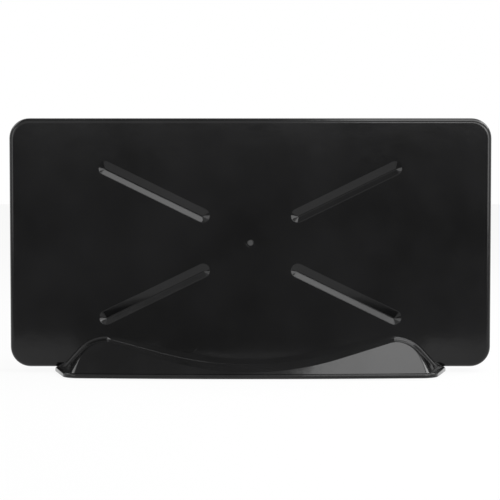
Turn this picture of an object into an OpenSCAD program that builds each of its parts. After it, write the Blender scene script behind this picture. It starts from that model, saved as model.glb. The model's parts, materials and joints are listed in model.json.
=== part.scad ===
// Desktop television antenna: a flat moulded panel on a humped foot, made of two covers
// that meet at the upright plane y = 0, with a four-armed dipole and its feed board inside.
// X runs along the panel, the face with the four grooves looks towards -Y, Z is up and the
// origin lies on the table, under the middle of the foot.

/* [Panel] */
// Width of the panel
panel_w = 240; // [220:1:280]
// Height of the panel
panel_h = 124; // [116:1:150]
// Thickness of the panel, both covers together
panel_d = 16; // [15:0.5:22]
// Radius of the panel's corners
panel_r = 10; // [6:0.5:16]
// Radius of the rounded rim
rim_r = 2.5; // [1:0.25:3.5]
// Wall of the two covers
wall = 2; // [1.6:0.1:2.4]

/* [Grooves] */
// Length of one stiffening groove from tip to tip
groove_len = 60.7; // [40:0.5:64]
// Width of a groove at the face
groove_w = 7; // [4:0.25:8]
// Depth of a groove
groove_depth = 1.7; // [1:0.1:2.4]
// Width of the flat floor of a groove
groove_floor = 0.5; // [0.3:0.1:1.5]
// How far the floor of a groove lies below its middle line
groove_drop = 0.75; // [0:0.05:1]
// Slope of the grooves
groove_angle = 26; // [20:1:30]
// Sideways distance from the panel's middle to the middle of a groove
groove_x = 47.8; // [42:0.1:52]
// Upright distance from the panel's middle to the middle of a groove
groove_z = 25.5; // [22:0.1:28]
// Diameter of the moulding mark in the middle of the face
mark_d = 3.2; // [2:0.1:4]

/* [Foot] */
// Width of the foot at its lip
lip_w = 195; // [190:1:205]
// How far the lip reaches out from the face of the panel
foot_reach = 32; // [30:1:44]
// Height of the lip
lip_h = 2.2; // [2:0.1:3.5]
// Rounding of the lip's upper edge
lip_round = 0.9; // [0.4:0.1:1.2]
// Step from the lip to the sloping front
ledge = 1; // [0.5:0.1:2]
// Height of the humps above the lip
hump_h = 13.8; // [12:0.1:16]
// Height of the foot above the lip halfway between the humps
valley_h = 1; // [1:0.1:3]
// Radius of the long hollow between the humps
valley_r = 170; // [120:1:220]
// Radius of the crest of a hump, on the side of the hollow
crest_r = 12; // [6:0.5:14]
// Radius of the hump's end, where it meets the panel
end_r = 18; // [14:0.5:20]
// Radius of the hump's end, at the front
nose_r = 13.5; // [10:0.5:14]
// Steepest slope of the hollow, at the foot of each hump
hump_slope = 15; // [14:0.5:18]
// Lean of the sloping front
front_lean = 48; // [30:1:50]
// Lean of the ends of the humps, where they meet the panel
end_lean = 42; // [36:1:48]
// Lean of the ends of the humps, at the front
nose_lean = 25; // [18:1:30]
// Radius of the hollow seam where the humps' ends meet the panel
seam_r = 1.8; // [1:0.1:2.2]
// Radius of the slight bow of the front
bow_r = 1000; // [600:10:2000]

/* [Base and feet] */
// Diameter of a rubber foot
foot_d = 10; // [8:0.5:12]
// Thickness of a rubber foot
foot_t = 1.6; // [1.2:0.1:2]
// How far the rubber feet stand out under the lip
foot_lift = 0.6; // [0.4:0.1:1]
// Length of a ballast bar across the foot
ballast_l = 40; // [30:1:44]
// Width of a ballast bar
ballast_w = 18; // [12:1:20]
// Height of a ballast bar
ballast_h = 5; // [4:0.1:5.4]

/* [Antenna] */
// Width of a dipole arm
arm_w = 6; // [4:0.5:8]
// Thickness of the arms' sheet
arm_t = 0.8; // [0.5:0.1:1]
// Width of the feed board
board_w = 40; // [36:1:44]
// Height of the feed board
board_h = 32; // [30:1:38]
// Thickness of the feed board
board_t = 1.6; // [1:0.1:2]
// Outer diameter of the balun's core
core_d = 10; // [9:0.5:11]
// Inner diameter of the balun's core
core_bore = 5.2; // [4.6:0.1:5.6]
// Height of the balun's core
core_h = 3.2; // [2:0.1:3.6]
// Diameter of the winding wire
wire_d = 0.4; // [0.3:0.05:0.5]
// Turns of the winding on the arms' side
arm_turns = 6; // [3:1:6]
// Turns of the winding on the cable's side
cable_turns = 3; // [2:1:5]

/* [Fasteners] */
// Core diameter of a self-tapping screw
screw_d = 2.4; // [2:0.1:2.8]
// Head diameter of a self-tapping screw
head_d = 5.2; // [4.4:0.1:5.6]
// Head height of a self-tapping screw
head_h = 1.8; // [1.4:0.1:2.2]
// Depth of the wells that hold the cover screws
well_depth = 5; // [4:0.1:5.4]
// Outer diameter of the screw bosses
boss_d = 7; // [6.4:0.1:8]

/* [Cable inlet] */
// Bore of the inlet grommet
inlet_bore = 5.5; // [4:0.1:6.5]
// Diameter of the hole in the rear cover
inlet_hole = 9; // [8.6:0.1:10]
// Height of the inlet above the lower edge of the panel
inlet_rise = 14; // [12:0.5:20]
// Thickness of the grommet's two flanges
flange_t = 1.5; // [1:0.1:2]

/* [Hidden] */
$fn = 48;

// Clearances and overlaps
gap = 0.2;
thread_gap = 0.05;
over = 1;
skin = 0.01;

// Levels and depths that several pieces share
half_d = panel_d / 2;
inner_y = half_d - wall;
lip_top = foot_lift + lip_h;
panel_mid = lip_top + panel_h / 2;
crest_z = lip_top + hump_h;
valley_z = lip_top + valley_h;
groove_slope = atan(groove_depth / (groove_w / 2 - groove_floor / 2));

// The base plate fills the lip
base_t = lip_h;

// Front view of the foot's top: the hollow is an arc that meets the straight rise of each
// hump where its slope is steepest, and the crest is an arc that touches that rise
hollow_x = valley_r * sin(hump_slope);
hollow_z = valley_z + valley_r * (1 - cos(hump_slope));
crest_mid_z = crest_z - crest_r;
crest_x = hollow_x + crest_r * sin(hump_slope)
    + (crest_mid_z + crest_r * cos(hump_slope) - hollow_z) / tan(hump_slope);

// Corners and tapers of the foot seen from above
lip_corner = 9;
lip_taper = 15.5;
lip_levels = 4;
hump_corner = 4;
corner_fade = 0.25;
least_corner = 0.6;
nose_depth = 28;
corner_steps = 8;
bow_pitch = 15;
bow_steps = 6;
seam_steps = 3;
seam_fade = 12;
seam_drop = 7;
seam_sink = 0.4;
rim_fade = 9;
arc_steps = 12;
hump_levels = 12;
groove_steps = 12;

// Screw places: the cover screws stand near the panel's corners and beside its middle
cover_inset = 11;
low_screw_x = 31;
low_screw_rise = 11.5;
cover_screw_at = [for (sx = [-1, 1])
    each [[sx * (panel_w / 2 - cover_inset), lip_top + panel_h - cover_inset],
        [sx * (panel_w / 2 - cover_inset), lip_top + cover_inset],
        [sx * low_screw_x, lip_top + low_screw_rise]]];
cover_screw_len = 8;
base_screw_x = crest_x;
base_screw_reach = 6;
base_screw_len = 8;
base_screw_at = [for (sx = [-1, 1], sy = [-1, 1])
    [sx * base_screw_x, sy * (half_d + base_screw_reach)]];
cone_h = 1.4;

// The board lies in front of its bosses, and the arms lie on the board
board_back = 1.8;
board_front = board_back - board_t;
arm_front = board_front - arm_t;
feed_x = 13;
board_screw_rise = 11.5;
board_screw_len = 5;
washer_t = 0.4;
hub_w = 7;
arm_end = 30;
pin_d = 3;
pin_stand = 1.4;
pin_setback = 4;
nut_d = 7;
nut_t = 0.4;
pad_l = 10;

// Small parts on the board
capacitor_d = 4.4;
capacitor_t = 1.8;
capacitor_x = 6.2;
capacitor_rise = 8.8;
terminal_x = 6;
terminal_drop = 10;
tag_w = 3;
tag_l = 5;
tag_t = 0.5;
post_d = 1.2;
post_h = 3;
core_edge = 0.6;
wire_steps = 14;
wire_sides = 8;
wire_air = 0.12;

// Moulding mark
mark_ring = 0.6;
mark_depth = 0.5;

// Ballast and feet
ballast_air = 1;
ballast_x = crest_x - boss_d / 2 - ballast_air - ballast_w / 2;
foot_x = crest_x + 2;
foot_inset = 14;
foot_pocket = foot_t - foot_lift;
flange_over = 1.5;
rim_band = 1.2;
rim_rise = 1.5;
rim_from = 24;

// A flat outline drawn in X and Z, given depth along Y from y0 backwards
module upright(y0, depth) {
    translate([0, y0 + depth, 0]) rotate([90, 0, 0]) linear_extrude(depth) children();
}

// A round bar along Y from y0 backwards, at x and z
module bar_y(x, z, y0, length, d) {
    translate([x, y0, z]) rotate([-90, 0, 0]) cylinder(d = d, h = length);
}

// A rectangle with round corners, in the middle of the plane
module soft_rectangle(w, h, r) {
    union() {
        square([w - 2 * r, h], center = true);
        square([w, h - 2 * r], center = true);
        for (sx = [-1, 1], sy = [-1, 1])
            translate([sx * (w / 2 - r), sy * (h / 2 - r)]) circle(r);
    }
}

// Section of the panel's edge: a bar as deep as one cover, with its face edge rounded
module edge_section() {
    union() {
        square([panel_r - rim_r, half_d]);
        square([panel_r, half_d - rim_r]);
        translate([panel_r - rim_r, half_d - rim_r]) circle(rim_r);
    }
}

// One cover's share of the panel as a full block, back on y = 0 and face towards -Y
module panel_block() {
    straight_x = panel_w - 2 * panel_r;
    straight_z = panel_h - 2 * panel_r;
    translate([0, 0, panel_mid]) rotate([90, 0, 0]) union() {
        translate([-straight_x / 2, -straight_z / 2, 0]) cube([straight_x, straight_z, half_d]);
        for (turn = [0, 180]) rotate([0, 0, turn]) {
            translate([straight_x / 2, straight_z / 2, 0]) rotate([90, 0, 0])
                linear_extrude(straight_z) edge_section();
            translate([-straight_x / 2, straight_z / 2, 0]) rotate([90, 0, 90])
                linear_extrude(straight_x) edge_section();
            translate([straight_x / 2, straight_z / 2, 0])
                rotate_extrude(angle = 90) edge_section();
            translate([-straight_x / 2, straight_z / 2, 0]) rotate([0, 0, 90])
                rotate_extrude(angle = 90) edge_section();
        }
    }
}

// Half of the foot seen from above, from the parting plane round the front and back to it:
// straight ends beside the panel, tapered ends, round corners and a bowed front
function foot_outline(half_w, taper, reach, corner, bowed = true) =
    let (
        first_depth = reach - corner - pow(half_w - corner, 2) / (2 * bow_r),
        corner_x = half_w - corner / cos(taper) - first_depth * tan(taper),
        corner_y = reach - corner - pow(corner_x, 2) / (2 * bow_r),
        turn = 90 - atan(corner_x / bow_r),
        bow_x = corner_x + corner * cos(turn),
        right = [for (i = [0:corner_steps]) let (a = taper + (turn - taper) * i / corner_steps)
            [corner_x + corner * cos(a), -half_d - corner_y - corner * sin(a)]],
        bow = [for (i = [bow_steps:-1:-bow_steps]) let (x = i * bow_pitch)
            if (bowed && abs(x) < bow_x - least_corner)
                [x, -half_d - reach + x * x / (2 * bow_r)]],
        left = [for (i = [corner_steps:-1:0]) [-right[i][0], right[i][1]]]
    )
    concat([[half_w, 0], [half_w, -half_d]], right, bow, left,
        [[-half_w, -half_d], [-half_w, 0]]);

// Half width of the humps at a height above the lip: an arc from the crest, then a flank
function end_x(rise, r, lean, inset) =
    let (
        drop = hump_h - rise,
        arc_drop = r - (r - inset) * sin(lean)
    )
    drop < arc_drop
        ? crest_x + sqrt(max(pow(r - inset, 2) - pow(r - drop, 2), 0))
        : crest_x + (r - inset) * cos(lean) + (drop - arc_drop) * tan(lean);

// Outline of the humped part of the foot, at a height above the lip and an inset of its wall
function hump_outline(rise, inset) =
    let (
        half_w = end_x(rise, end_r, end_lean, inset),
        taper = atan((half_w - end_x(rise, nose_r, nose_lean, inset)) / nose_depth)
    )
    foot_outline(half_w, taper,
        foot_reach - ledge - rise * tan(front_lean) - inset / cos(front_lean),
        max(hump_corner - corner_fade * rise - inset, least_corner),
        rise == 0 || rise == hump_h);

// A half outline and its mirror image behind the parting plane, as one loop
function both_halves(half) =
    concat(half, [for (i = [len(half) - 2:-1:1]) [half[i][0], -half[i][1]]]);

// Front view of the foot's top: a long hollow that rises to a crest on each side, where the
// ends of the humps take over
function crest_line(inset) =
    let (
        hollow = [for (i = [0:arc_steps]) let (a = hump_slope * i / arc_steps)
            [(valley_r + inset) * sin(a),
                valley_z + valley_r - (valley_r + inset) * cos(a)]],
        crest = [for (i = [0:arc_steps])
            let (a = 90 + hump_slope - hump_slope * i / arc_steps)
            [crest_x + (crest_r - inset) * cos(a), crest_mid_z + (crest_r - inset) * sin(a)]],
        outer = [[lip_w, crest_z - inset], [lip_w, 0]],
        half = concat(hollow, crest, outer)
    )
    concat([for (i = [len(half) - 1:-1:1]) [-half[i][0], half[i][1]]], half);

// The humped part of the foot, leaning in on the front and rounded at the two ends
module hump_block(inset) {
    intersection() {
        hull() for (i = [0:hump_levels]) let (rise = hump_h * sin(90 * i / hump_levels))
            translate([0, 0, lip_top + rise - skin]) linear_extrude(skin)
                polygon(hump_outline(rise, inset));
        upright(-foot_reach - half_d - over, foot_reach + half_d + over)
            polygon(crest_line(inset));
    }
}

// A closed form through rings of points, from the front ring to the rear one. Each ring has
// as many points as the others, and runs counterclockwise seen from the front.
module ring_stack(rings) {
    count = len(rings[0]);
    last = len(rings) - 1;
    sides = [for (i = [0:last - 1], j = [0:count - 1])
        let (
            a = i * count + j,
            b = i * count + (j + 1) % count
        )
        each [[a, b, b + count], [a, b + count, a + count]]];
    front = [for (j = [count - 1:-1:0]) j];
    rear = [for (j = [0:count - 1]) last * count + j];
    polyhedron([for (ring = rings) each ring], concat([front, rear], sides));
}

// Front view of a hump's end, set out by the hollow seam and running out into the crest
function end_profile(out) =
    concat([for (i = [0:hump_levels]) let (rise = (hump_h + out) * sin(90 * i / hump_levels))
        [end_x(rise, end_r, end_lean, -out), lip_top + rise]],
        [[crest_x - seam_fade, crest_z - seam_drop - out],
            [crest_x - seam_fade, lip_top - seam_sink],
            [end_x(0, end_r, end_lean, -out), lip_top - seam_sink]]);

// The hollow seam between the panel and the two ends of the humps, from its front edge,
// sunk in the hump, to the panel
module end_seams() {
    rings = [for (i = [0:seam_steps + 1])
        let (
            a = min(90 * i / seam_steps, 90),
            y = i > seam_steps ? seam_sink - half_d : -half_d - seam_r * (1 - sin(a)),
            out = (seam_r + seam_sink) * (1 - cos(a)) - seam_sink
        )
        [for (at = end_profile(out)) [at[0], y, at[1]]]];
    for (side = [0, 1]) mirror([side, 0, 0]) ring_stack(rings);
}

// The lip that the foot stands on, with its upper edge rounded
module lip_block() {
    translate([0, 0, foot_lift]) linear_extrude(lip_h - lip_round)
        polygon(foot_outline(lip_w / 2, lip_taper, foot_reach, lip_corner));
    hull() for (i = [0:lip_levels]) let (a = 90 * i / lip_levels, inset = lip_round * (1 - cos(a)))
        translate([0, 0, lip_top - skin - lip_round * (1 - sin(a))]) linear_extrude(skin)
            polygon(foot_outline(lip_w / 2 - inset, lip_taper, foot_reach - inset,
                lip_corner - inset));
}

// Fills the rounded lower edge of the panel above the lip, and runs out at both ends
module rim_fill() {
    run = lip_w / 2 - lip_round;
    upright(-half_d, half_d) polygon([[-run, lip_top - skin], [run, lip_top - skin],
        [run - rim_fade, lip_top + 2 * rim_r], [rim_fade - run, lip_top + 2 * rim_r]]);
}

// A tapered bar with round ends for a groove, along one of the four directions. Its floor
// lies off its middle line, so its lower flank is the steeper one. The bar is that much
// larger all round as grow says, and it reaches out past the face.
module groove_bar(sx, sz, grow) {
    run = groove_len / 2 - groove_w / 2;
    floor_r = groove_floor / 2 + grow * tan(groove_slope / 2);
    height = groove_depth + grow + over;
    rings = [for (at = [
            [floor_r + height / tan(groove_slope), -height,
                groove_drop * (height / groove_depth - 1)],
            [floor_r, 0, -groove_drop]])
        [for (end = [1, -1], i = [0:groove_steps]) let (a = 180 * i / groove_steps - 90 * end)
            [end * run + at[0] * cos(a), at[1], at[2] + at[0] * sin(a)]]];
    translate([sx * groove_x, height - over - half_d, panel_mid + sz * groove_z])
        rotate([0, -sx * sz * groove_angle, 0]) ring_stack(rings);
}

// One cover without its bosses: panel and foot, hollowed from the parting plane and below
module cover_shell() {
    difference() {
        union() {
            panel_block();
            rim_fill();
            lip_block();
            hump_block(0);
            end_seams();
        }
        translate([0, 0, panel_mid]) upright(-inner_y, inner_y + over)
            soft_rectangle(panel_w - 2 * wall, panel_h - 2 * wall, panel_r - wall);
        translate([0, 0, lip_top]) mirror([0, 0, 1]) linear_extrude(lip_h + over)
            polygon(hump_outline(0, wall));
        translate([0, 0, -skin]) hump_block(wall);
    }
}

// Upright columns for the base screws, under the humps
module base_columns() {
    intersection() {
        for (at = base_screw_at) if (at[1] < 0)
            translate([at[0], at[1], foot_lift + base_t])
                cylinder(d = boss_d, h = crest_z);
        hump_block(wall / 2);
    }
}

module base_pilots() {
    for (at = base_screw_at) if (at[1] < 0)
        translate([at[0], at[1], foot_lift + base_t - over])
            cylinder(d = screw_d + 2 * thread_gap, h = base_screw_len + over - base_t + gap);
}

// Round bosses and pins that stand on the rear cover's inner face
module rear_bosses() {
    for (at = cover_screw_at) bar_y(at[0], at[1], 0, inner_y + skin, head_d + 2 * gap + wall);
    for (sx = [-1, 1]) bar_y(sx * feed_x, panel_mid, board_back, inner_y - board_back + skin,
        boss_d - 1);
    for (sz = [-1, 1]) bar_y(0, panel_mid + sz * board_screw_rise, board_back,
        inner_y - board_back + skin, boss_d - 1);
    for (at = pin_at) {
        bar_y(at[0], at[1], board_front, inner_y - board_front + skin, boss_d);
        bar_y(at[0], at[1], arm_front - pin_stand, pin_stand + arm_t + over, pin_d);
    }
}

// Pins hold the outer ends of the four arms, on the line of the grooves
pin_at = [for (sx = [-1, 1], sz = [-1, 1])
    [sx * (groove_x + (arm_end - pin_setback) * cos(groove_angle)),
        panel_mid + sz * (groove_z + (arm_end - pin_setback) * sin(groove_angle))]];

// Locating rim of the rear cover, which reaches into the front cover round top and sides
module locating_rim() {
    outer_w = panel_w - 2 * wall - 2 * gap;
    outer_h = panel_h - 2 * wall - 2 * gap;
    outer_r = panel_r - wall - gap;
    intersection() {
        translate([0, 0, panel_mid]) difference() {
            union() {
                upright(-rim_rise, rim_rise + over) soft_rectangle(outer_w, outer_h, outer_r);
                upright(over, over) soft_rectangle(outer_w + 3 * gap, outer_h + 3 * gap,
                    outer_r + 1.5 * gap);
            }
            upright(-rim_rise - over, inner_y) soft_rectangle(outer_w - 2 * rim_band,
                outer_h - 2 * rim_band, outer_r - rim_band);
        }
        translate([-panel_w / 2, -panel_d, lip_top + rim_from])
            cube([panel_w, 2 * panel_d, panel_h]);
    }
}

module front_cover() {
    color("#1b1b1c") difference() {
        union() {
            cover_shell();
            base_columns();
            for (at = cover_screw_at) bar_y(at[0], at[1], -inner_y - skin, inner_y + skin, boss_d);
            intersection() {
                for (sx = [-1, 1], sz = [-1, 1]) groove_bar(sx, sz, wall);
                translate([-panel_w / 2, -inner_y - skin, lip_top])
                    cube([panel_w, inner_y, panel_h]);
            }
        }
        for (sx = [-1, 1], sz = [-1, 1]) groove_bar(sx, sz, 0);
        for (at = cover_screw_at)
            bar_y(at[0], at[1], half_d - well_depth - cover_screw_len - gap,
                cover_screw_len + well_depth, screw_d + 2 * thread_gap);
        base_pilots();
        mark_pocket();
    }
}

// Shallow ring round the moulding mark, which stays flush with the face
module mark_pocket() {
    difference() {
        bar_y(0, panel_mid, -half_d - over, mark_depth + over, mark_d + 2 * mark_ring);
        bar_y(0, panel_mid, -half_d - 2 * over, mark_depth + 3 * over, mark_d);
    }
}

module rear_cover() {
    color("#1b1b1c") difference() {
        union() {
            mirror([0, 1, 0]) cover_shell();
            mirror([0, 1, 0]) base_columns();
            rear_bosses();
            locating_rim();
        }
        mirror([0, 1, 0]) base_pilots();
        for (at = cover_screw_at) {
            bar_y(at[0], at[1], -over, panel_d, screw_d + 2 * gap);
            bar_y(at[0], at[1], half_d - well_depth, panel_d, head_d + 2 * gap);
        }
        for (sx = [-1, 1]) bar_y(sx * feed_x, panel_mid, board_back - over,
            board_screw_len + over, screw_d + 2 * thread_gap);
        for (sz = [-1, 1]) bar_y(0, panel_mid + sz * board_screw_rise, board_back - over,
            board_screw_len + over, screw_d + 2 * thread_gap);
        bar_y(0, lip_top + inlet_rise, inner_y - over, wall + 2 * over, inlet_hole);
    }
}

// Closing plate in the mouth of the foot, flush with the lip's underside
module base_plate() {
    color("#202021") difference() {
        translate([0, 0, foot_lift]) linear_extrude(base_t)
            polygon(both_halves(hump_outline(0, wall + gap)));
        for (at = base_screw_at) translate([at[0], at[1], foot_lift]) sunk_hole();
        for (sx = [-1, 1]) translate([sx * ballast_x, 0, foot_lift]) sunk_hole();
        for (sx = [-1, 1], sy = [-1, 1])
            translate([sx * foot_x, sy * (half_d + foot_reach - foot_inset), foot_lift - over])
                cylinder(d = foot_d + 2 * gap, h = foot_pocket + over);
    }
}

// Clearance for a countersunk screw that enters from below at z = 0
module sunk_hole() {
    translate([0, 0, -over]) cylinder(d = screw_d + 2 * gap, h = base_t + 2 * over);
    translate([0, 0, -skin]) cylinder(d1 = head_d + 2 * gap, d2 = screw_d + 2 * gap, h = cone_h);
}

// Countersunk self-tapping screw from below, head flush with z = 0
module sunk_screw(length) {
    difference() {
        union() {
            cylinder(d1 = head_d, d2 = screw_d, h = cone_h);
            cylinder(d = screw_d, h = length - screw_d / 2);
            translate([0, 0, length - screw_d / 2])
                cylinder(d1 = screw_d, d2 = screw_d / 4, h = screw_d / 2);
        }
        cross_slot(head_d);
    }
}

// Pan-head self-tapping screw with its seat on y = 0, head towards sy and point away from it
module pan_screw(length) {
    rotate([90, 0, 0]) difference() {
        union() {
            cylinder(d = head_d, h = head_h * 0.6);
            translate([0, 0, head_h * 0.6]) cylinder(d1 = head_d, d2 = head_d * 0.7,
                h = head_h * 0.4);
            translate([0, 0, -length + screw_d / 2]) cylinder(d = screw_d,
                h = length - screw_d / 2 + skin);
            translate([0, 0, -length]) cylinder(d1 = screw_d / 4, d2 = screw_d,
                h = screw_d / 2);
        }
        translate([0, 0, head_h]) mirror([0, 0, 1]) cross_slot(head_d);
    }
}

// Cross recess cut upwards from z = 0
module cross_slot(d) {
    slot = d / 9;
    for (turn = [0, 90]) rotate([0, 0, turn]) translate([-d * 0.28, -slot / 2, -over])
        cube([d * 0.56, slot, d / 5 + over]);
}

// One half of the dipole: a hub strip on the board and two arms that lie behind the grooves
module element(side) {
    color("#b9bcc0") difference() {
        upright(arm_front, arm_t) union() {
            translate([side * feed_x, panel_mid]) square([hub_w, 2 * hub_reach],
                center = true);
            for (sz = [-1, 1]) translate([side * groove_x, panel_mid + sz * groove_z])
                rotate(sz * side * groove_angle)
                    translate([side > 0 ? -hub_end : -arm_end, -arm_w / 2])
                        square([hub_end + arm_end, arm_w]);
        }
        bar_y(side * feed_x, panel_mid, arm_front - over, arm_t + 2 * over,
            screw_d + 2 * gap);
        for (at = pin_at) bar_y(at[0], at[1], arm_front - over, arm_t + 2 * over,
            pin_d + 2 * gap);
    }
}

// The arms run inwards to the line of the feed screws, and the hub strip spans their ends
hub_end = (groove_x - feed_x) / cos(groove_angle);
hub_reach = groove_z - hub_end * sin(groove_angle) + arm_w / 2;

module feed_board() {
    color("#6b7f3a") difference() {
        translate([-board_w / 2, board_front, panel_mid - board_h / 2])
            cube([board_w, board_t, board_h]);
        for (sx = [-1, 1]) {
            bar_y(sx * feed_x, panel_mid, board_front - over, board_t + 2 * over,
                screw_d + 2 * gap);
            bar_y(sx * terminal_x, panel_mid - terminal_drop, board_front - over,
                board_t + 2 * over, post_d + 2 * gap);
        }
        for (sz = [-1, 1]) bar_y(0, panel_mid + sz * board_screw_rise, board_front - over,
            board_t + 2 * over, screw_d + 2 * gap);
    }
}

// Where the balun's ring lies: flat in front of the board, on its own windings
core_lift = wire_d + 2 * wire_air;
core_mid_r = (core_d + core_bore) / 4;
core_y = board_front - core_lift - core_h / 2;

module balun_core() {
    section_w = (core_d - core_bore) / 2;
    color("#3c3c40") translate([0, core_y, panel_mid]) rotate([90, 0, 0]) rotate_extrude()
        translate([core_mid_r, 0]) soft_rectangle(section_w, core_h, core_edge);
}

// Signed root, which squares up the wire's path round the ring's section
function root(v) = v < 0 ? -sqrt(-v) : sqrt(v);

// A point of a winding: turn angle t along the wire, between two angles round the ring
function wire_point(t, turns, from, to) =
    let (
        along = from + (to - from) * t / (360 * turns),
        half_w = (core_d - core_bore) / 4 + wire_d / 2 + wire_air,
        half_h = core_h / 2 + wire_d / 2 + wire_air,
        r = core_mid_r + half_w * root(cos(t))
    )
    [r * cos(along), half_h * root(sin(t)), r * sin(along)];

// A round wire swept along the winding as one closed skin
module winding(turns, from, to) {
    count = turns * wire_steps;
    path = [for (i = [0:count]) wire_point(360 * turns * i / count, turns, from, to)];
    rings = [for (i = [0:count])
        let (
            a = path[max(i - 1, 0)],
            b = path[min(i + 1, count)],
            run = (b - a) / norm(b - a),
            mid = (from + (to - from) * i / count),
            spoke = [-sin(mid), 0, cos(mid)],
            up_raw = cross(run, spoke),
            up = up_raw / norm(up_raw),
            across = cross(up, run)
        )
        [for (k = [0:wire_sides - 1]) let (a2 = 360 * k / wire_sides)
            path[i] + wire_d / 2 * (cos(a2) * across + sin(a2) * up)]];
    points = [for (ring = rings) each ring];
    sides = [for (i = [0:count - 1], k = [0:wire_sides - 1])
        let (
            n = (k + 1) % wire_sides,
            p = i * wire_sides,
            q = p + wire_sides
        )
        each [[p + k, q + k, p + n], [p + n, q + k, q + n]]];
    first = [for (k = [0:wire_sides - 1]) k];
    last = [for (k = [wire_sides - 1:-1:0]) count * wire_sides + k];
    translate([0, core_y, panel_mid]) polyhedron(points, concat(sides, [first, last]));
}

module capacitor(side) {
    color("#b9782f") bar_y(side * capacitor_x, panel_mid + capacitor_rise,
        board_front - capacitor_t, capacitor_t, capacitor_d);
}

// Solder tag: a flat ear on the board and a post that passes through it
module terminal(side) {
    color("#c9a24a") union() {
        translate([side * terminal_x - tag_w / 2, board_front - tag_t,
            panel_mid - terminal_drop - tag_l / 2]) cube([tag_w, tag_t, tag_l]);
        bar_y(side * terminal_x, panel_mid - terminal_drop, board_front - post_h,
            post_h + board_t + 1, post_d);
    }
}

module feed_screws() {
    color("#c4c6c8") for (sx = [-1, 1])
        translate([sx * feed_x, arm_front - washer_t, panel_mid])
            pan_screw(board_screw_len + board_t + arm_t);
}

module feed_washers() {
    color("#a8aaad") for (sx = [-1, 1]) difference() {
        bar_y(sx * feed_x, panel_mid, arm_front - washer_t, washer_t, head_d + 1);
        bar_y(sx * feed_x, panel_mid, arm_front - over, 2 * over, screw_d + 2 * gap);
    }
}

module board_screws() {
    color("#c4c6c8") for (sz = [-1, 1])
        translate([0, board_front, panel_mid + sz * board_screw_rise])
            pan_screw(board_screw_len + board_t - gap);
}

// Push-on nuts that keep the arms' ends on their pins
module arm_push_nuts() {
    color("#8f9296") for (at = pin_at) difference() {
        bar_y(at[0], at[1], arm_front - nut_t, nut_t, nut_d);
        bar_y(at[0], at[1], arm_front - over, 2 * over, pin_d + 2 * thread_gap);
    }
}

// Soft pads between the arms and the inner backs of the grooves
module foam_pads() {
    pad_t = half_d + arm_front - groove_depth - wall - gap;
    color("#55575a") for (sx = [-1, 1], sz = [-1, 1])
        translate([sx * groove_x, arm_front - pad_t, panel_mid + sz * groove_z])
            rotate([0, -sx * sz * groove_angle, 0])
                translate([-pad_l / 2, 0, -arm_w / 2]) cube([pad_l, pad_t, arm_w]);
}

module cover_screws() {
    color("#8f9194") for (at = cover_screw_at)
        translate([at[0], half_d - well_depth, at[1]]) rotate([180, 0, 0])
            pan_screw(cover_screw_len);
}

module base_screws() {
    color("#8f9194") for (at = base_screw_at)
        translate([at[0], at[1], foot_lift]) sunk_screw(base_screw_len);
}

module ballast(side) {
    color("#6f7276") difference() {
        translate([side * ballast_x - ballast_w / 2, -ballast_l / 2, foot_lift + base_t])
            cube([ballast_w, ballast_l, ballast_h]);
        translate([side * ballast_x, 0, foot_lift])
            cylinder(d = screw_d + 2 * thread_gap, h = base_t + ballast_h + over);
    }
}

module ballast_screws() {
    color("#8f9194") for (sx = [-1, 1])
        translate([sx * ballast_x, 0, foot_lift]) sunk_screw(base_t + ballast_h - gap);
}

module rubber_foot(sx, sy) {
    color("#2a2a2a") translate([sx * foot_x, sy * (half_d + foot_reach - foot_inset), 0])
        cylinder(d = foot_d, h = foot_t);
}

// Grommet that lines the cable's way out of the rear cover
module inlet_grommet() {
    z = lip_top + inlet_rise;
    color("#161616") difference() {
        union() {
            bar_y(0, z, inner_y - flange_t, flange_t, inlet_hole + 2 * flange_over);
            bar_y(0, z, inner_y - skin, wall + 2 * skin, inlet_hole - 2 * thread_gap);
            bar_y(0, z, half_d, flange_t, inlet_hole + 2 * flange_over);
        }
        bar_y(0, z, inner_y - flange_t - over, panel_d, inlet_bore);
    }
}

front_cover();
rear_cover();
base_plate();
element(-1);  // left_element
element(1);  // right_element
feed_board();
balun_core();
color("#b06a3a") winding(arm_turns, 20, 160);  // arm_winding
color("#b06a3a") winding(cable_turns, 215, 325);  // cable_winding
capacitor(-1);  // left_capacitor
capacitor(1);  // right_capacitor
terminal(-1);  // signal_terminal
terminal(1);  // ground_terminal
feed_screws();
feed_washers();
board_screws();
arm_push_nuts();
foam_pads();
cover_screws();
base_screws();
ballast(-1);  // left_ballast
ballast(1);  // right_ballast
ballast_screws();
rubber_foot(-1, -1);  // front_left_foot
rubber_foot(1, -1);  // front_right_foot
rubber_foot(-1, 1);  // rear_left_foot
rubber_foot(1, 1);  // rear_right_foot
inlet_grommet();
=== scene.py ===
"""Looks of the desktop television antenna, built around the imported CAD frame.

Lengths are in metres, in the frame of the CAD: X along the panel, the grooved face towards -Y,
Z up, origin on the table under the middle of the foot.
"""

import json
import math

import bpy
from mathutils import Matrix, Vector

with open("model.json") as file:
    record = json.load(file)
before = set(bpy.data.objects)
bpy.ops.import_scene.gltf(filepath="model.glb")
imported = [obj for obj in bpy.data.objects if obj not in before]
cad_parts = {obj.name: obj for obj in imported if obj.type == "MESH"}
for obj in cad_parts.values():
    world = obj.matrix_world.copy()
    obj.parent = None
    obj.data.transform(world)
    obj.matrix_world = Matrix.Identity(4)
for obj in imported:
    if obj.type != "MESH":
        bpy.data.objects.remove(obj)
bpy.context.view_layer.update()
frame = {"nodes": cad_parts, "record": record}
nodes = frame["nodes"]
MM = 0.001


def add_object(name, data):
    """A new object in the scene, which shows the given data."""
    thing = bpy.data.objects.new(name, data)
    bpy.context.scene.collection.objects.link(thing)
    return thing


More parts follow.
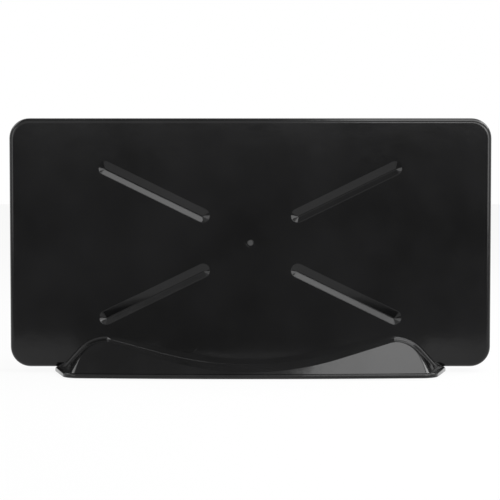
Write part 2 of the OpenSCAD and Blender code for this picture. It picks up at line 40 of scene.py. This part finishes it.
# Camera: fitted to the panel's corners and the front edge of the foot in the photograph
IMAGE_PX = 500
FOCAL_PX = 1793.3
SENSOR = 36.0
CAMERA_PLACE = (-0.2 * MM, -900 * MM, 109 * MM)
CAMERA_PITCH = math.radians(3.063)
CLIP_NEAR, CLIP_FAR = 0.05, 50


def make_camera():
    data = bpy.data.cameras.new("camera")
    data.sensor_width = SENSOR
    data.lens = FOCAL_PX / IMAGE_PX * SENSOR
    data.clip_start, data.clip_end = CLIP_NEAR, CLIP_FAR
    camera = add_object("camera", data)
    camera.location = CAMERA_PLACE
    camera.rotation_euler = (math.pi / 2 - CAMERA_PITCH, 0, 0)
    bpy.context.scene.camera = camera


# Node trees


class Nodes:
    """A node tree, with short calls to add and join nodes."""

    def __init__(self, tree):
        self.tree = tree
        self.tree.nodes.clear()

    def add(self, kind, **settings):
        node = self.tree.nodes.new(kind)
        for key, value in settings.items():
            setattr(node, key, value)
        return node

    def put(self, socket, value):
        """Feeds a socket from another one, or sets its value."""
        if isinstance(value, bpy.types.NodeSocket):
            self.tree.links.new(value, socket)
        elif socket.type == "RGBA":
            socket.default_value = (*value, 1)
        else:
            socket.default_value = value

    def math(self, operation, a, b, clamp=False):
        node = self.add("ShaderNodeMath", operation=operation, use_clamp=clamp)
        self.put(node.inputs[0], a)
        self.put(node.inputs[1], b)
        return node.outputs[0]

    def vector(self, operation, a, b):
        node = self.add("ShaderNodeVectorMath", operation=operation)
        self.put(node.inputs[0], a)
        self.put(node.inputs[1], b)
        return node.outputs[0]

    def plus(self, value, part, weight):
        """A value with a share of another one added."""
        return self.math("ADD", value, self.math("MULTIPLY", part, weight))

    def span(self, value, low, high, to_low=0.0, to_high=1.0, smooth=False):
        """Maps a range of values to another range, and holds its ends beyond it."""
        node = self.add("ShaderNodeMapRange")
        node.interpolation_type = "SMOOTHSTEP" if smooth else "LINEAR"
        self.put(node.inputs["Value"], value)
        self.put(node.inputs["From Min"], low)
        self.put(node.inputs["From Max"], high)
        self.put(node.inputs["To Min"], to_low)
        self.put(node.inputs["To Max"], to_high)
        return node.outputs["Result"]

    def ray_is_shown(self):
        """1 for what the camera sees, straight or in metal and glass, 0 for light on the object."""
        path = self.add("ShaderNodeLightPath")
        seen = self.math("ADD", path.outputs["Is Camera Ray"], path.outputs["Is Glossy Ray"])
        return self.math("ADD", seen, path.outputs["Is Transmission Ray"], clamp=True)


class Shader(Nodes):
    """A material's node tree, with patterns that follow the place on the object."""

    def __init__(self, name):
        self.material = bpy.data.materials.new(name)
        self.material.use_nodes = True
        super().__init__(self.material.node_tree)
        self.out = self.add("ShaderNodeOutputMaterial")
        self.position = self.add("ShaderNodeNewGeometry").outputs["Position"]

    def noise(self, scale, detail=2.0, rough=0.5, stretch=(1, 1, 1)):
        mapping = self.add("ShaderNodeMapping")
        self.put(mapping.inputs["Vector"], self.position)
        self.put(mapping.inputs["Scale"], stretch)
        node = self.add("ShaderNodeTexNoise")
        self.put(node.inputs["Vector"], mapping.outputs[0])
        self.put(node.inputs["Scale"], scale)
        self.put(node.inputs["Detail"], detail)
        self.put(node.inputs["Roughness"], rough)
        return node.outputs["Fac"]

    def cells(self, scale):
        """The distance to the nearest of many scattered points."""
        node = self.add("ShaderNodeTexVoronoi")
        self.put(node.inputs["Vector"], self.position)
        self.put(node.inputs["Scale"], scale)
        return node.outputs["Distance"]

    def radius_from(self, x, z):
        """The distance from a point of the face, as seen from the front."""
        offset = self.vector("SUBTRACT", self.position, (x, 0, z))
        flat = self.vector("MULTIPLY", offset, (1, 0, 1))
        length = self.add("ShaderNodeVectorMath", operation="LENGTH")
        self.put(length.inputs[0], flat)
        return length.outputs["Value"]

    def blend(self, factor, a, b):
        node = self.add("ShaderNodeMix", data_type="RGBA")
        self.put(node.inputs["Factor"], factor)
        self.put(node.inputs["A"], a)
        self.put(node.inputs["B"], b)
        return node.outputs["Result"]

    def mottle(self, pattern, tint, factor):
        """The tint, turning towards the tint times a factor where the pattern is high."""
        return self.blend(self.span(pattern, 0.35, 0.65), tint, scaled(tint, factor))

    def uneven(self, pattern, middle, less, more):
        """A roughness that varies about a middle value with the pattern."""
        return self.span(pattern, 0.3, 0.7, middle - less, middle + more)

    def bump(self, height, strength, distance):
        node = self.add("ShaderNodeBump")
        self.put(node.inputs["Height"], height)
        self.put(node.inputs["Strength"], strength)
        self.put(node.inputs["Distance"], distance)
        return node.outputs["Normal"]

    def principled(self, color, roughness, normal=None, **constants):
        """A surface's node. The constants are named as its sockets, with _ for each space."""
        node = self.add("ShaderNodeBsdfPrincipled")
        self.put(node.inputs["Base Color"], color)
        self.put(node.inputs["Roughness"], roughness)
        if normal is not None:
            self.put(node.inputs["Normal"], normal)
        for key, value in constants.items():
            node.inputs[key.replace("_", " ")].default_value = value
        return node

    def show(self, node):
        """Puts the node's result on the surface, and gives the material."""
        self.put(self.out.inputs["Surface"], node.outputs[0])
        return self.material


def scaled(tint, factor):
    return tuple(c * factor for c in tint)


# Materials

# Places on the covers, from the part's source
PANEL_MIDDLE = 64.8 * MM
MARK_RADIUS, MARK_FADE = 1.6 * MM, 0.4 * MM
BOSS_X, BOSS_Z = 31 * MM, 14.3 * MM
RING_RADIUS, RING_FADE = 4.6 * MM, 0.5 * MM

PLASTIC_IOR = 1.5
FOAM_IOR, FOAM_ROUGH = 1.4, 0.95
DUST_COLOR = (0.11, 0.11, 0.105)
# The gate spot's lighter colour is a painted highlight, standing in for light caught by its raised
# nub
GATE_HIGHLIGHT_COLOR = (0.05, 0.05, 0.05)


def ring(s, x, z):
    """1 on a circle round a point of the face, and 0 away from it."""
    radius = s.radius_from(x, z)
    rise = s.span(radius, RING_RADIUS - RING_FADE, RING_RADIUS, smooth=True)
    fall = s.span(radius, RING_RADIUS, RING_RADIUS + RING_FADE, 1, 0, smooth=True)
    return s.math("MULTIPLY", rise, fall)


def glossy_plastic(name, tint, rough):
    """Black injection-moulded plastic: soft flow marks, faint cloudiness and a little dust, with
    the dull gate spot, lightened by a painted highlight where its raised nub would catch light, and
    the faint rings that moulding leaves over the bosses."""
    s = Shader(name)
    flow = s.noise(scale=26, detail=3, rough=0.55, stretch=(1, 1, 0.35))
    cloud = s.noise(scale=20, detail=4, rough=0.6)
    speck = s.span(s.cells(scale=900), 0.0, 0.16, 1.0, 0.0, smooth=True)
    dusty_place = s.span(s.noise(scale=140), 0.56, 0.74, smooth=True)
    dust = s.math("MULTIPLY", speck, dusty_place)
    to_middle = s.radius_from(0, PANEL_MIDDLE)
    gate_mark_and_highlight = s.span(to_middle, MARK_RADIUS - MARK_FADE, MARK_RADIUS, 1, 0, smooth=True)

    color = s.blend(s.span(cloud, 0.35, 0.65), scaled(tint, 0.6), scaled(tint, 1.7))
    color = s.blend(s.math("MULTIPLY", dust, 0.35), color, DUST_COLOR)
    # Painted highlight: the dull gate spot is lightened where its raised nub would catch the light;
    # its extra roughness below is real
    color = s.blend(s.math("MULTIPLY", gate_mark_and_highlight, 0.8), color, GATE_HIGHLIGHT_COLOR)

    roughness = s.uneven(flow, rough, less=0.04, more=0.04)
    roughness = s.plus(roughness, dust, weight=0.2)
    roughness = s.plus(roughness, gate_mark_and_highlight, weight=0.3)

    ripple = s.plus(s.noise(scale=48), s.noise(scale=420, detail=3, rough=0.6), weight=0.16)
    for side in (-1, 1):
        ripple = s.plus(ripple, ring(s, side * BOSS_X, BOSS_Z), weight=0.15)
    normal = s.bump(ripple, strength=0.16, distance=0.6 * MM)
    return s.show(s.principled(color, roughness, normal, IOR=PLASTIC_IOR, Specular_IOR_Level=0.3))


def rubber(name, tint, rough):
    s = Shader(name)
    grain = s.noise(scale=1400, detail=3, rough=0.6)
    color = s.mottle(s.noise(scale=160, detail=3), tint, factor=1.5)
    roughness = s.uneven(grain, rough, less=0.08, more=0.08)
    normal = s.bump(grain, strength=0.4, distance=0.2 * MM)
    return s.show(s.principled(color, roughness, normal, IOR=PLASTIC_IOR))


def brushed(name, tint, rough, stretch=(1, 1, 14)):
    """Rolled or turned metal, with fine lines across the stretched direction."""
    s = Shader(name)
    lines = s.noise(scale=900, detail=3, rough=0.6, stretch=stretch)
    tarnish = s.span(s.noise(scale=120, detail=4, rough=0.6), 0.35, 0.7)
    color = s.blend(tarnish, tint, scaled(tint, 0.75))
    roughness = s.uneven(lines, rough, less=0.08, more=0.1)
    normal = s.bump(lines, strength=0.25, distance=0.1 * MM)
    return s.show(s.principled(color, roughness, normal, Metallic=1.0))


def laminate(name):
    """Olive green board with a faint glass weave under its lacquer."""
    s = Shader(name)
    warp = s.noise(scale=1300, stretch=(1, 1, 0.1))
    weft = s.noise(scale=1300, stretch=(0.1, 1, 1))
    weave = s.math("MULTIPLY", warp, weft)
    resin, glass = (0.11, 0.14, 0.035), (0.19, 0.21, 0.07)
    color = s.blend(s.span(weave, 0.15, 0.35), resin, glass)
    roughness = s.span(weave, 0.15, 0.35, 0.32, 0.45)
    normal = s.bump(weave, strength=0.2, distance=0.2 * MM)
    return s.show(s.principled(color, roughness, normal, IOR=PLASTIC_IOR))


def ceramic(name, tint, rough, scale):
    """Speckled ferrite or the dipped coat of a capacitor."""
    s = Shader(name)
    speck = s.noise(scale=scale, detail=4, rough=0.65)
    color = s.mottle(speck, tint, factor=1.6)
    roughness = s.uneven(speck, rough, less=0.1, more=0.1)
    normal = s.bump(speck, strength=0.3, distance=0.2 * MM)
    return s.show(s.principled(color, roughness, normal, IOR=PLASTIC_IOR))


def foam(name):
    s = Shader(name)
    cells = s.cells(scale=1500)
    # The pores are darker than the cell walls: painted shade in the hollows
    pore_shade, wall = (0.03, 0.03, 0.032), (0.1, 0.1, 0.105)
    color = s.blend(s.span(cells, 0.0, 0.6), pore_shade, wall)
    normal = s.bump(cells, strength=0.8, distance=0.6 * MM)
    return s.show(s.principled(color, FOAM_ROUGH, normal, IOR=FOAM_IOR))


def make_looks():
    """The materials by the name of their slot in the record."""
    even = (1, 1, 1)
    across = (1, 14, 1)
    return {
        "cover_plastic": glossy_plastic("cover_plastic", (0.0040, 0.0040, 0.0042), 0.13),
        "base_plastic": glossy_plastic("base_plastic", (0.008, 0.008, 0.0082), 0.42),
        "foot_rubber": rubber("foot_rubber", (0.022, 0.022, 0.022), 0.72),
        "grommet_rubber": rubber("grommet_rubber", (0.008, 0.008, 0.008), 0.5),
        "element_aluminium": brushed("element_aluminium", (0.72, 0.73, 0.75), 0.34),
        "board_laminate": laminate("board_laminate"),
        "ferrite": ceramic("ferrite", (0.03, 0.03, 0.034), 0.6, 700),
        "copper_wire": brushed("copper_wire", (0.6, 0.22, 0.08), 0.28, even),
        "capacitor_coat": ceramic("capacitor_coat", (0.32, 0.14, 0.03), 0.4, 500),
        "terminal_brass": brushed("terminal_brass", (0.72, 0.5, 0.2), 0.3),
        "screw_steel": brushed("screw_steel", (0.55, 0.56, 0.57), 0.34, across),
        "spring_steel": brushed("spring_steel", (0.42, 0.43, 0.45), 0.4),
        "pad_foam": foam("pad_foam"),
        "ballast_steel": brushed("ballast_steel", (0.3, 0.31, 0.32), 0.5, across),
    }


def dress_nodes():
    """Gives every CAD node the look of its material slot in the record."""
    looks = make_looks()
    slot_of = {row["node"]: row["material_slot"] for row in frame["record"]["subparts"]}
    for name, node in nodes.items():
        node.data.materials.clear()
        node.data.materials.append(looks[slot_of[name]])


# Edges of the covers. The angle limit is just under the 23 degrees between the face and a
# groove's upper flank, and over the 22.5 degree steps of the lip's rounding. The weld joins the
# close points where the foot's end seams fade out
EDGE_WIDTH = 0.16 * MM
EDGE_STEPS = 3
EDGE_ANGLE = math.radians(22.8)
WELD_REACH = 0.08 * MM
FLAT_ANGLE = math.radians(0.2)
LARGE_FACE_WEIGHT = 90


def soften(node):
    """Rounds the sharp edges of a CAD node with modifiers, its own mesh left as it is."""
    weld = node.modifiers.new("weld", "WELD")
    weld.merge_threshold = WELD_REACH
    flat = node.modifiers.new("flat", "DECIMATE")
    flat.decimate_type = "DISSOLVE"
    flat.angle_limit = FLAT_ANGLE
    bevel = node.modifiers.new("bevel", "BEVEL")
    bevel.width = EDGE_WIDTH
    bevel.segments = EDGE_STEPS
    bevel.limit_method = "ANGLE"
    bevel.angle_limit = EDGE_ANGLE
    bevel.use_clamp_overlap = False
    even = node.modifiers.new("even", "WEIGHTED_NORMAL")
    even.mode = "FACE_AREA_WITH_ANGLE"
    even.weight = LARGE_FACE_WEIGHT
    even.keep_sharp = False


# Stage

FLOOR_HALF = 3.0
FLOOR_COLOR = (0.8, 0.8, 0.8)
FLOOR_ROUGH = 0.9
FLOOR_WHITE = 0.92
WHITE = (1, 1, 1)
WORLD_LIGHT = 0.25


def upright_sheet(half, y, low, high):
    return [(-half, y, low), (half, y, low), (half, y, high), (-half, y, high)]


def level_sheet(left, right, front, back, height=0):
    return [(left, front, height), (right, front, height), (right, back, height),
        (left, back, height)]


def make_sheet(name, corners, material):
    mesh = bpy.data.meshes.new(name)
    mesh.from_pydata(corners, [], [(0, 1, 2, 3)])
    mesh.materials.append(material)
    return add_object(name, mesh)


def make_floor():
    """Pale paper that the camera and all that mirrors it see as nearly pure white."""
    s = Shader("floor")
    paper = s.principled(FLOOR_COLOR, FLOOR_ROUGH, Specular_IOR_Level=0.0)
    glow = s.add("ShaderNodeEmission")
    s.put(glow.inputs["Strength"], 1.0)
    mix = s.add("ShaderNodeMixShader")
    s.put(mix.inputs["Fac"], s.math("MULTIPLY", s.ray_is_shown(), FLOOR_WHITE))
    s.put(mix.inputs[1], paper.outputs[0])
    s.put(mix.inputs[2], glow.outputs[0])
    corners = level_sheet(-FLOOR_HALF, FLOOR_HALF, -FLOOR_HALF, FLOOR_HALF)
    floor = make_sheet("floor", corners, s.show(mix))


def make_world():
    """White where it is shown, and a dim even light on the object."""
    world = bpy.data.worlds.new("world")
    bpy.context.scene.world = world
    world.use_nodes = True
    s = Nodes(world.node_tree)
    background = s.add("ShaderNodeBackground")
    s.put(background.inputs["Color"], WHITE)
    s.put(background.inputs["Strength"], s.span(s.ray_is_shown(), 0, 1, WORLD_LIGHT, 1.0))
    out = s.add("ShaderNodeOutputWorld")
    s.put(out.inputs["Surface"], background.outputs[0])


def make_softbox(name, place, aim, width, height, radiance):
    """A rectangular lamp of a given radiance, hidden from the camera itself."""
    data = bpy.data.lights.new(name, "AREA")
    data.shape = "RECTANGLE"
    data.size, data.size_y = width, height
    data.energy = radiance * math.pi * width * height
    lamp = add_object(name, data)
    lamp.location = place
    lamp.rotation_euler = (Vector(aim) - Vector(place)).to_track_quat("-Z", "Y").to_euler()
    lamp.visible_camera = False


def light_object():
    """Lamps overhead, high in front, at both sides and behind, stronger on the right."""
    make_softbox("key", place=(0.52, -0.26, 1.0), aim=(0.52, -0.26, 0),
        width=0.86, height=0.7, radiance=4.1)
    make_softbox("top_right", place=(0.66, -1.5, 0.58), aim=(0, 0, 0.1),
        width=1.1, height=0.5, radiance=5.0)
    make_softbox("front_right", place=(0.95, -0.85, 0.2), aim=(0, 0, 0.07),
        width=0.7, height=0.9, radiance=3.6)
    make_softbox("front_left", place=(-0.95, -0.85, 0.2), aim=(0, 0, 0.07),
        width=0.6, height=0.9, radiance=2.0)
    make_softbox("back_right", place=(0.76, 0.25, 0.72), aim=(0.09, -0.02, 0.01),
        width=0.5, height=0.5, radiance=6.0)
    make_softbox("back_left", place=(-0.76, 0.25, 0.72), aim=(-0.09, -0.02, 0.01),
        width=0.5, height=0.5, radiance=2.6)


# Grey cards that only reflections see. The front card stands in front of the object, at the far
# edge of the floor cards, and brightens upwards. The floor cards get narrower towards the foot.
# The sky card hangs overhead, to the left
FRONT_REACH = 1.6
FRONT_LOW, FRONT_HIGH = 0.002, 0.3
FRONT_DIM, FRONT_BRIGHT = 0.24, 1.4
FADE_LOW, FADE_HIGH = 0.12, 0.25
FLOOR_GREY = 0.26
CARD_LIFT = 0.4 * MM
WIDE_EDGE, MIDDLE_EDGE, NEAR_EDGE = -165 * MM, -125 * MM, -85 * MM
MIDDLE_HALF, NEAR_HALF = 100 * MM, 50 * MM
SKY_GREY = 0.36
SKY_LEFT, SKY_RIGHT, SKY_HALF, SKY_HEIGHT = -1.2, 0.08, 0.7, 1.3


def make_card(name, corners, level_of):
    """A card with the brightness that level_of gives from its node tree."""
    s = Shader(name)
    glow = s.add("ShaderNodeEmission")
    s.put(glow.inputs["Strength"], level_of(s))
    card = make_sheet(name, corners, s.show(glow))
    card.visible_camera = False
    card.visible_shadow = False
    card.visible_diffuse = False


def brighter_upwards(s):
    parts = s.add("ShaderNodeSeparateXYZ")
    s.put(parts.inputs[0], s.position)
    return s.span(parts.outputs["Z"], FADE_LOW, FADE_HIGH, FRONT_DIM, FRONT_BRIGHT, smooth=True)


def make_cards():
    corners = upright_sheet(FRONT_REACH, -FRONT_REACH, FRONT_LOW, FRONT_HIGH)
    make_card("front_card", corners, brighter_upwards)
    for name, half, front, back in (
            ("floor_card", FRONT_REACH, -FRONT_REACH, WIDE_EDGE),
            ("middle_card", MIDDLE_HALF, WIDE_EDGE, MIDDLE_EDGE),
            ("near_card", NEAR_HALF, MIDDLE_EDGE, NEAR_EDGE)):
        corners = level_sheet(-half, half, front, back, CARD_LIFT)
        make_card(name, corners, lambda s: FLOOR_GREY)
    corners = level_sheet(SKY_LEFT, SKY_RIGHT, -SKY_HALF, SKY_HALF, SKY_HEIGHT)
    make_card("sky_card", corners, lambda s: SKY_GREY)


make_camera()
dress_nodes()
for name in ("front_cover", "rear_cover"):
    soften(nodes[name])
make_floor()
make_world()
light_object()
make_cards()

scene = bpy.context.scene
scene.view_settings.view_transform = "Standard"
